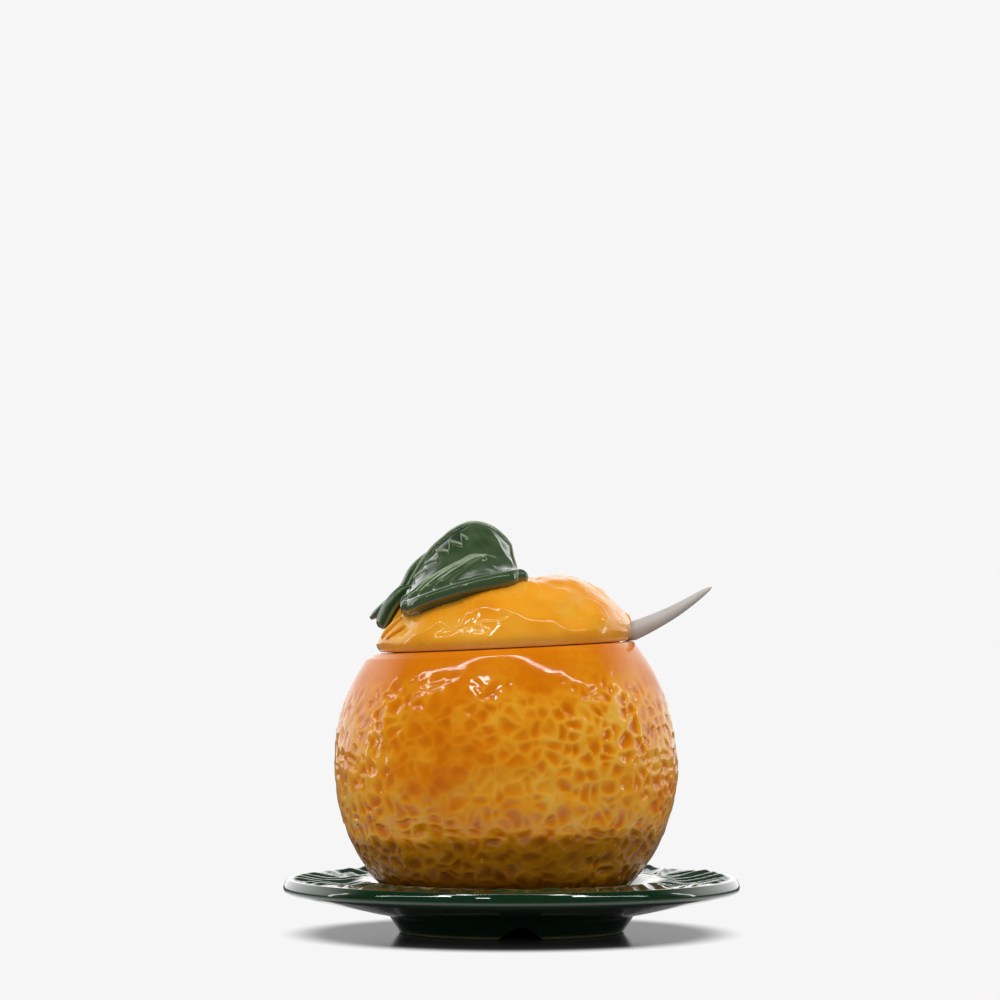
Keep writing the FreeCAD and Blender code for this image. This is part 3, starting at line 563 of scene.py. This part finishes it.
def make_leaf(material):
    """The folded leaf on the lid, with its veins and puckers."""
    rows, columns = ((180, 228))
    angles = np.linspace(math.radians(24), math.radians(153), rows)
    across = np.linspace(-1, 1, columns)
    upper, lower = leaf_surfaces(angles, across)
    share = ((1 - np.cos(angles)) / 2)[:, None]
    reach = np.abs(across)[None, :]
    wander = noise_at(upper, 9.0, 2.0)
    between = noise_at(upper, 4.5, 6.6)

    # Long veins run from the base into the fold over the lip, and puckers lie below the midrib.
    veins = np.zeros(upper.shape[:2])
    fading = 1 - step(0.66, 0.80, share)
    for start, height in ((-0.10, 0.8), (0.02, 0.9), (0.12, 0.9), (0.24, 0.8), (0.38, 0.6)):
        line = 0.61 + 0.04 * wander + 0.34 * np.exp(-np.clip(share - start, 0, None) / 0.13)
        vein = height * bump(reach, line, 0.021) * step(start, start + 0.05, share) * fading
        veins = np.maximum(veins, vein)
    pucker = (share * 10.0 + 0.35 * wander) % 1.0
    line = 0.26 + 0.15 * pucker
    near_base = 1 - step(0.48, 0.60, share)
    zigzag = bump(reach, line, 0.026) * step(0.05, 0.12, share) * near_base
    swell = step(0.0, 0.08, line - reach) * step(0.02, 0.10, reach) * near_base
    spine = bump(reach, 0.0, 0.035)
    margins = 1 - step(0.86, 1.0, reach)
    slanted = (share * 5.0 - reach * 1.6 + 0.2 * wander) % 1.0
    side = bump(slanted, 0.5, 0.12) * step(0.5, 0.7, share) * step(0.1, 0.3, reach)
    relief = 1.3 * veins + 0.9 * zigzag - 0.45 * swell + 1.0 * spine + 0.3 * side * margins
    relief += (0.28 * between + 0.45 * wander * step(0.5, 0.7, reach)) * margins
    along = np.gradient(upper, axis=0)
    beside = np.gradient(upper, axis=1)
    normal = np.cross(along, beside)
    normal /= np.linalg.norm(normal, axis=2, keepdims=True)
    normal *= np.sign(normal[rows // 2, columns // 2, 2])
    upper = upper + normal * (relief - 1.1)[..., None]
    upper[..., 0] += 0.35 * noise_at(upper, 7.0, 8.8) * np.sin(math.pi * share)

    turns = np.linspace(0, math.pi, 15)[1:-1]

    def lip(end, inner):
        """The rounded edge between the upper and lower side, on one side of the blade."""
        middle = (upper[:, end] + lower[:, end]) / 2
        half = (upper[:, end] - lower[:, end]) / 2
        outward = upper[:, end] - upper[:, inner]
        outward[:, 0] = 0
        outward[:, 2] *= 0.3
        outward /= np.linalg.norm(outward, axis=1, keepdims=True)
        uneven = 1 + 0.10 * noise_at(middle, 9.0, 3.7)
        outward *= np.linalg.norm(half, axis=1, keepdims=True) * uneven[:, None]
        return np.stack([middle + half * math.cos(t) + outward * math.sin(t) for t in turns], axis=1)

    rings = np.concatenate([upper, lip(-1, -3), lower[:, ::-1], lip(0, 2)[:, ::-1]], axis=1)

    # Both ends close with a rounded cap.
    middle = (upper + lower) / 2
    ends = [np.repeat(middle[:, end : end + 1 or None], len(turns), axis=1) for end in (-1, 0)]
    middle = np.concatenate([middle, ends[0], middle[:, ::-1], ends[1]], axis=1)

    def cap(row, outward):
        """Rings that shrink from one end of the blade to its middle and move outward."""
        rounded = []
        for t in np.linspace(0, math.pi / 2, 9)[1:]:
            shift = np.array([outward * math.sin(t), 0, 0])
            rounded.append(middle[row] + (rings[row] - middle[row]) * max(math.cos(t), 0.04) + shift)
        return rounded

    first, last = cap(0, -2.0), cap(-1, 3.0)
    rings = np.concatenate([np.stack(first[::-1]), rings, np.stack(last)])
    extra = len(first)
    pool = np.full(rings.shape[:2], 0.42)
    # Pale on the veins, spine and puckers, partly thin glaze and partly painted highlight.
    thickness = 0.50 - 0.85 * veins**2 - 0.8 * spine - 0.8 * zigzag + 0.30 * swell - 0.2 * between
    pool[extra:-extra, :columns] = np.clip(thickness, 0, 1)
    thin = np.zeros(rings.shape[:2])
    blade = 0.5 * step(0.92, 0.945, share[:, 0])
    worn = np.concatenate([np.zeros(extra), blade, np.linspace(0.5, 0.9, extra)])
    thin[:, columns + len(turns) // 2 : -len(turns) // 2] = worn[:, None]
    ends = [tilted(rings[row].mean(axis=0)) for row in (0, -1)]
    values = {"pool": pool, "thin": thin}
    leaf = make_piece("leaf_blade", tilted(rings), material, "green_glaze", *ends, values)
    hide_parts("lid")


def rounding(share):
    """Share of the full width along a limb, less towards its ends."""
    return max(0.12, (1 - abs(2 * share - 1) ** 6)) ** 0.5


def limb(name, path, count, half_width, half_depth, material, slot, groove=0.0):
    """A rounded limb along a smooth path in the lid's frame; groove is the depth of six grooves along it."""
    places = through(path, count)
    direction = np.gradient(places, axis=0)
    direction /= np.linalg.norm(direction, axis=1, keepdims=True)
    level = np.stack([-direction[:, 1], direction[:, 0], np.zeros(count)], axis=1)
    level /= np.linalg.norm(level, axis=1, keepdims=True)
    steep = np.cross(direction, level)
    turns = np.linspace(0, TAU, 40, endpoint=False)
    rounded = np.array([rounding(share) for share in np.linspace(0, 1, count)])
    across, deep = half_width * rounded, half_depth * rounded
    ridged = 1 - groove * np.cos(turns * 6)
    rings = places[:, None] + level[:, None] * (across[:, None] * np.cos(turns) * ridged)[..., None]
    rings = rings + steep[:, None] * (deep[:, None] * np.sin(turns) * ridged)[..., None]
    pool = np.clip(0.5 + 0.4 * np.cos(turns * 6) * (groove > 0) + 0 * rings[..., 0], 0, 1)
    rings = tilted(rings)
    ends = rings[0].mean(axis=0), rings[-1].mean(axis=0)
    piece = make_piece(name, rings, material, slot, *ends, {"pool": pool, "thin": 0 * pool})
    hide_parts("lid")


def make_stalk(material):
    """The leaf's stalk, from inside its base out and down."""
    start = midrib(0.06) - np.array([0, 0, LEAF_THICKNESS / 2])
    end = midrib(0.0) + np.array([-0.58, 0, -0.72]) * 12.5
    bend = (start + end) / 2 + np.array([-0.8, 0, 0.8])
    limb("leaf_stalk", [start, bend, end], 40, 2.5, 2.5, material, "green_glaze", 0.05)


def make_far_lobe(material):
    """The leaf's far lobe, along the midrib's far side and out past the base."""
    aside = 4.5
    beside = ((0.40, -4.5), (0.22, -1.9), (0.10, 0.3), (0.03, 0.4))
    beyond = ((-2.25, 0.3), (-5.6, -2.4), (-10.4, -5.8))
    path = [midrib(share) + np.array([0, aside, up]) for share, up in beside]
    path += [midrib(0.0) + np.array([out, aside, up]) for out, up in beyond]
    limb("leaf_far_lobe", path, 50, 4.2, 1.9, material, "green_glaze")


def make_lid_ridges(material):
    """Two short ridges on the lid, where the stalk was pressed on."""
    path = [(-38.0, -11.6, 4.0), (-36.0, -13.6, 6.6), (-32.6, -15.6, 9.4), (-31.0, -16.2, 10.4)]
    limb("lid_ridge", path, 24, 1.25, 1.25, material, "orange_glaze_lid")
    path = [(-36.6, -17.0, 4.2), (-34.2, -18.8, 6.0), (-30.6, -20.4, 8.2)]
    limb("lid_ridge_thin", path, 20, 0.7, 0.7, material, "orange_glaze_lid")


def make_saucer(material):
    """The saucer: well, relief of leaves, rounded rim, and the foot with its notches."""
    columns = 560
    azimuth = np.linspace(0, TAU, columns, endpoint=False)
    middle = [(6.0, WELL_FLOOR), (20.0, WELL_FLOOR), (30.0, WELL_FLOOR)]
    well = [(34.5, WELL_FLOOR), (36.5, 10.6), (39.5, 12.8), (43.0, 15.6)]
    well += [(46.0, 16.5), (47.6, 16.6), (50.0, 16.1), (54.0, 15.3)]
    top = [(60.0, 15.4), (66.0, 16.4), (69.0, 16.9)]
    edge = [(70.5, 17.0), (70.95, 16.8), (71.25, 16.43), (71.55, 15.98), (71.83, 15.52), (72.07, 15.0)]
    edge += [(72.2, 14.4), (72.15, 13.7), (71.8, 13.1), (71.0, 12.65), (69.8, 12.2)]
    upper = through(well + top + edge, 130)
    slope = [(69.8, 12.2), (60.0, 10.0), (48.0, 7.3), (41.0, 5.9), (38.9, 5.2), (37.6, 3.4)]
    slope += [(36.2, 1.4), (35.6, 0.35)]
    under = through(slope, 30)[1:]
    foot = [(35.2, 0.0), (33.4, 0.0), (31.7, 0.0), (31.4, 0.5), (31.4, 4.0)]
    foot += [(30.8, UNDER_CEILING), (20.0, UNDER_CEILING), (8.0, UNDER_CEILING)]
    profile = np.vstack([middle, upper, under, foot])
    radius, height = profile[:, :1] + 0 * azimuth, profile[:, 1:] + 0 * azimuth

    # Overlapping leaves: three lie over three, each with a midrib and side veins that run outwards.
    turn = np.angle(np.exp(1j * 3 * (azimuth - math.radians(95)))) / 3
    over = step(-0.012, 0.012, math.radians(48.5) - np.abs(turn))
    own = np.where(over > 0.5, turn, turn - np.sign(turn) * math.radians(60))
    aside = own * radius
    inner, outer = step(45.5, 52, radius), 1 - step(67.0, 70.2, radius)
    ribs = bump(aside, 0, 1.3) * (1 - 0.5 * step(50, 70, radius))
    slanted = (radius - 1.15 * np.abs(aside)) / 9.0
    places = np.stack([radius * np.cos(azimuth), radius * np.sin(azimuth), height], axis=-1)
    wander = noise_at(places, 8.0, 3.3)
    veins = bump((slanted + 0.2 * wander) % 1.0, 0.5, 0.22) * step(0.5, 2.5, np.abs(aside))
    cupped = -0.7 * bump(np.abs(own), math.radians(24), 0.20) * over
    lobes = 0.55 * (over - 0.5) * step(50, 60, radius)
    upper_side = np.zeros(radius.shape)
    upper_side[len(middle) : len(middle) + len(upper)] = 1
    relief = (1.2 * ribs + 1.25 * veins + cupped + 0.6 * noise_at(places, 12.0, 6.1)) * inner * outer
    relief += (lobes - 0.35) * step(48, 58, radius) * (1 - step(67.4, 70.2, radius))
    uneven = noise_at(places, 14.0, 4.0)
    scallops = bump(radius, 46.5, 2.4) * (0.06 * np.cos(azimuth * 60 + 3.0 * uneven) + 0.16 * uneven)
    relief = (relief + scallops) * upper_side
    height = height + relief
    underside = np.zeros(radius.shape)
    underside[len(middle) + len(upper) :] = 1

    # Three arched notches under the foot.
    notch_half, notch_top = FOOT_NOTCH
    for turned, shift in ((-math.pi / 2, 2.7), (math.radians(30), 0.0), (math.radians(150), 0.0)):
        beside = apart(azimuth, turned) * FOOT_RADIUS - shift
        arch = notch_top * np.cos(np.clip(beside / notch_half, -1, 1) * math.pi / 2) ** 1.3
        ring = (radius > 31.0) & (radius < 39.5) & (underside > 0)
        height = np.where(ring, np.maximum(height, np.minimum(arch, 4.4)), height)
    rings = np.stack([radius * np.cos(azimuth), radius * np.sin(azimuth), height], axis=-1)

    # Pale on the ribs and veins, partly thin glaze and partly painted highlight; the whole underside is
    # painted darker as painted shade.
    worked = outer * inner
    thickness = 0.66 - (0.42 * ribs + 0.34 * veins + 0.2 * wander) * worked
    pool = np.clip(thickness, 0, 1) * upper_side + 0.8 * underside
    # Cream on the collar's scalloped crest: partly thin glaze, partly painted highlight. The faint line round
    # the foot's edge is worn glaze.
    thin = upper_side * bump(radius, 46.3, 1.5) * np.clip(0.55 + 0.9 * wander + 0.4 * uneven, 0, 0.9)
    thin = thin + 0.22 * underside * bump(radius, 35.6, 0.3) * (height < 2.0)
    # The rings run from the underside up, so that the faces look outwards.
    ends = (0, 0, UNDER_CEILING), (0, 0, WELL_FLOOR)
    values = {"pool": pool[::-1], "thin": np.clip(thin, 0, 1)[::-1]}
    saucer = make_piece("saucer_dish", rings[::-1], material, "green_glaze", *ends, values)
    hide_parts("saucer")


def make_spoon(material):
    """The spoon, from its bowl on the pot's floor to its handle out through the notch."""
    outward = np.array([math.cos(SPOON_AZIMUTH), math.sin(SPOON_AZIMUTH), 0])
    sideways = np.array([-outward[1], outward[0], 0])
    outside = MOUTH + RIM_WIDTH
    end_out, end_up = SPOON_END
    floor = POT_FLOOR - POT_HEIGHT + SPOON_GAP
    crossing = outside * math.sin(RIM_TILT) * math.cos(SPOON_AZIMUTH)
    neck = crossing + SPOON_GAP + HANDLE_DEPTH[0] / 2
    bottom = floor + BOWL_DEPTH / 2
    leaving = neck + 0.8
    stations = [
        (-0.60 * MOUTH, bottom + 4.5),
        (-0.40 * MOUTH, bottom + 1.6),
        (-0.18 * MOUTH, bottom + 0.8),
        (0.04 * MOUTH, blend(bottom, neck, 0.10)),
        (0.20 * MOUTH, blend(bottom, neck, 0.36)),
        (0.42 * MOUTH, blend(bottom, neck, 0.72)),
        (0.70 * MOUTH, blend(bottom, neck, 0.95)),
        (MOUTH, neck),
        (outside, leaving),
        (blend(outside, end_out, 0.5), blend(leaving, end_up, 0.42)),
        (end_out, end_up),
    ]
    path = through([RIM_MIDDLE + outward * along + np.array([0, 0, up]) for along, up in stations], 360)
    direction = np.gradient(path, axis=0)
    direction /= np.linalg.norm(direction, axis=1, keepdims=True)
    turns = np.linspace(0, TAU, 96, endpoint=False)
    rings = []
    for place, way in zip(path, direction):
        along = (place - RIM_MIDDLE) @ outward
        bowl = max(0, 1 - ((along + 0.28 * MOUTH) / (0.36 * MOUTH)) ** 2)
        if place[2] > RIM_MIDDLE[2] + 0.7 * floor:
            bowl = 0
        crossed = min(1, max(0, (along - MOUTH) / RIM_WIDTH))
        outer = min(1, max(0, (along - outside) / (end_out - outside)))
        handle = (0.02 + 0.98 * (1 - outer**8)) ** 0.5 * blend(1, 0.34, outer)
        across = blend(HANDLE_WIDTH * handle, BOWL_WIDTH, bowl**0.5) / 2
        deep = blend(blend(*HANDLE_DEPTH, crossed) * handle, BOWL_DEPTH, bowl**0.5) / 2
        upward = np.cross(way, sideways)
        ring = []
        for t in turns:
            raised = deep * math.sin(t) + BOWL_CURL * bowl * math.cos(t) ** 2
            ring.append(place + sideways * across * math.cos(t) + upward * raised)
        rings.append(ring)
    rings = np.array(rings)
    ends = rings[0].mean(axis=0), rings[-1].mean(axis=0)
    spoon = make_piece("spoon_white", rings, material, "white_glaze", *ends)
    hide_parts("spoon")


# ------------------------------------------------------------------------------------------ studio


def make_camera():
    """A long lens, nearly level with the object."""
    data = bpy.data.cameras.new("camera")
    data.lens = 158.9
    data.sensor_width = 36
    data.clip_start = 0.05
    data.clip_end = 60
    camera = bpy.data.objects.new("camera", data)
    camera.location = (-0.00365, -1.4, 0.110)
    camera.rotation_euler = (math.radians(91.09), 0, 0)
    bpy.context.scene.collection.objects.link(camera)
    bpy.context.scene.camera = camera


def area(name, place, target, width, height, power, along=None):
    """A rectangular light aimed at a target; along is the way its width runs, level unless given."""
    data = bpy.data.lights.new(name, "AREA")
    data.shape = "RECTANGLE"
    data.size, data.size_y = width, height
    data.energy = power
    lamp = bpy.data.objects.new(name, data)
    lamp.location = place
    back = (Vector(place) - Vector(target)).normalized()
    wide = Vector(along) if along else Vector((0, 0, 1)).cross(back)
    wide = (wide - back * wide.dot(back)).normalized()
    lamp.rotation_euler = Matrix((wide, back.cross(wide), back)).transposed().to_euler()
    bpy.context.scene.collection.objects.link(lamp)


def make_floor():
    """A floor disc, dark grey near the object as a painted shadow under the cast one, that fades into the
    white of the world.
    """
    nodes = Nodes("floor_white")
    tree = nodes.tree
    tree.nodes.remove(nodes.shader)
    output = tree.nodes["Material Output"]
    # Dark grey matt near the object: a painted shadow.
    painted_shadow_matt = nodes.add("ShaderNodeBsdfDiffuse", {"Color": (0.12, 0.12, 0.12)})
    shine = nodes.add("ShaderNodeBsdfGlossy", {"Color": (0.46, 0.46, 0.46), "Roughness": 0.12})
    share = nodes.add("ShaderNodeFresnel", {"IOR": 1.16})
    near = nodes.add("ShaderNodeMixShader", {"Fac": share.outputs[0]})
    tree.links.new(painted_shadow_matt.outputs[0], near.inputs[1])
    tree.links.new(shine.outputs[0], near.inputs[2])
    # White as seen by the camera; in reflections and as bounced light it dims away from the object.
    inputs = {0: nodes.place(), 1: (1.18, 1.14, 1.0), 2: (0.0, 0.009, 0.0)}
    spread = nodes.add("ShaderNodeVectorMath", inputs, operation="MULTIPLY_ADD")
    length = nodes.add("ShaderNodeVectorMath", {0: spread.outputs[0]}, operation="LENGTH").outputs["Value"]
    inputs = {"Value": length, "From Min": 0.10, "From Max": 0.17, "To Min": 0.85, "To Max": 0.14}
    lit = nodes.add("ShaderNodeMapRange", inputs)
    seen = nodes.add("ShaderNodeLightPath").outputs["Is Camera Ray"]
    strength = nodes.math("MAXIMUM", seen, lit.outputs["Result"])
    far = nodes.add("ShaderNodeEmission", {"Color": WHITE, "Strength": strength})
    # The painted shadow fades out over an ellipse shifted towards the camera.
    inputs = {"Value": length, "From Min": 0.068, "From Max": 0.088}
    fade = nodes.add("ShaderNodeMapRange", inputs, interpolation_type="SMOOTHSTEP")
    blended = nodes.add("ShaderNodeMixShader", {"Fac": fade.outputs["Result"]})
    tree.links.new(near.outputs[0], blended.inputs[1])
    tree.links.new(far.outputs[0], blended.inputs[2])
    tree.links.new(blended.outputs[0], output.inputs["Surface"])
    count, radius = 128, 6.0
    mesh = bpy.data.meshes.new("floor")
    ring = [(radius * math.cos(TAU * i / count), radius * math.sin(TAU * i / count), 0) for i in range(count)]
    mesh.from_pydata(ring, [], [tuple(range(count))])
    mesh.materials.append(nodes.material)
    floor = bpy.data.objects.new("floor", mesh)
    bpy.context.scene.collection.objects.link(floor)


def make_world():
    """White for the camera, a soft tent for reflections, and even light for the rest."""
    world = bpy.data.worlds.new("studio")
    bpy.context.scene.world = world
    world.use_nodes = True
    tree = world.node_tree
    background = tree.nodes["Background"]
    background.inputs["Color"].default_value = (1, 1, 1, 1)
    seen = tree.nodes.new("ShaderNodeBackground")
    seen.inputs["Color"].default_value = (*WHITE, 1)

    # A soft tent: bright low behind the object, dim over it and in front of it.
    way = tree.nodes.new("ShaderNodeSeparateXYZ")
    tree.links.new(tree.nodes.new("ShaderNodeTexCoord").outputs["Generated"], way.inputs[0])
    levels = []
    for axis, low, high, dim, bright in (("Y", 0.0, 0.45, 0.02, 1.2), ("Z", 0.36, 0.78, 1.0, 0.07)):
        level = tree.nodes.new("ShaderNodeMapRange")
        level.interpolation_type = "SMOOTHSTEP"
        tree.links.new(way.outputs[axis], level.inputs["Value"])
        for socket, value in (("From Min", low), ("From Max", high), ("To Min", dim), ("To Max", bright)):
            level.inputs[socket].default_value = value
        levels.append(level.outputs["Result"])
    both = tree.nodes.new("ShaderNodeMath")
    both.operation = "MULTIPLY"
    tree.links.new(levels[0], both.inputs[0])
    tree.links.new(levels[1], both.inputs[1])
    tree.links.new(both.outputs[0], background.inputs["Strength"])
    soft = tree.nodes.new("ShaderNodeBackground")
    soft.inputs["Color"].default_value = (1, 1, 1, 1)
    soft.inputs["Strength"].default_value = 0.83

    # Reflections see the tent, the camera sees white, and every other ray gets even light.
    rays = tree.nodes.new("ShaderNodeLightPath")
    surface = soft
    for kind, other in (("Is Glossy Ray", background), ("Is Camera Ray", seen)):
        mixed = tree.nodes.new("ShaderNodeMixShader")
        tree.links.new(rays.outputs[kind], mixed.inputs["Fac"])
        tree.links.new(surface.outputs[0], mixed.inputs[1])
        tree.links.new(other.outputs[0], mixed.inputs[2])
        surface = mixed
    tree.links.new(surface.outputs[0], tree.nodes["World Output"].inputs["Surface"])


def make_lights():
    """A long thin strip over the camera, whose arms rise to its sides, a small lamp and two side strips."""
    middle = (0, 0, 0.08)
    belly = (0, 0, 0.07)
    area("strip_over", (0.0, -0.42, 0.92), middle, 1.0, 0.022, 1.1)
    area("arm_left", (-0.90, -0.42, 1.08), middle, 0.86, 0.024, 1.2, (0.8, 0, -0.32))
    area("arm_right", (0.90, -0.42, 1.08), middle, 0.86, 0.024, 1.2, (0.8, 0, 0.32))
    area("over_front", (-0.20, -0.62, 0.80), middle, 0.10, 0.055, 0.36)
    area("strip_left", (-0.95, 0.17, 0.25), belly, 0.05, 0.7, 0.5)
    area("strip_right", (0.95, 0.17, 0.30), belly, 0.05, 0.7, 0.5)


bpy.context.scene.view_settings.view_transform = "Standard"
make_camera()
make_world()
make_floor()
make_lights()

# The leaf's pale is partly thin glaze, partly painted highlight.
leaf_green = green_glaze(
    "leaf_glaze", (0.42, 0.50, 0.33), (0.074, 0.124, 0.052), (0.023, 0.053, 0.016), (0.36, 0.19, 0.02)
)
# The saucer's pale is partly thin glaze, partly painted highlight; its cream on the collar's crest is partly
# painted highlight, and the faint foot line is worn glaze.
saucer_green = green_glaze(
    "saucer_glaze", (0.20, 0.30, 0.16), (0.018, 0.062, 0.024), (0.004, 0.020, 0.008), (0.72, 0.66, 0.36)
)
orange = lid_glaze()
make_pot(pot_glaze())
make_lid(orange)
make_leaf(leaf_green)
make_stalk(leaf_green)
make_far_lobe(leaf_green)
make_lid_ridges(orange)
make_saucer(saucer_green)
make_spoon(white_glaze())
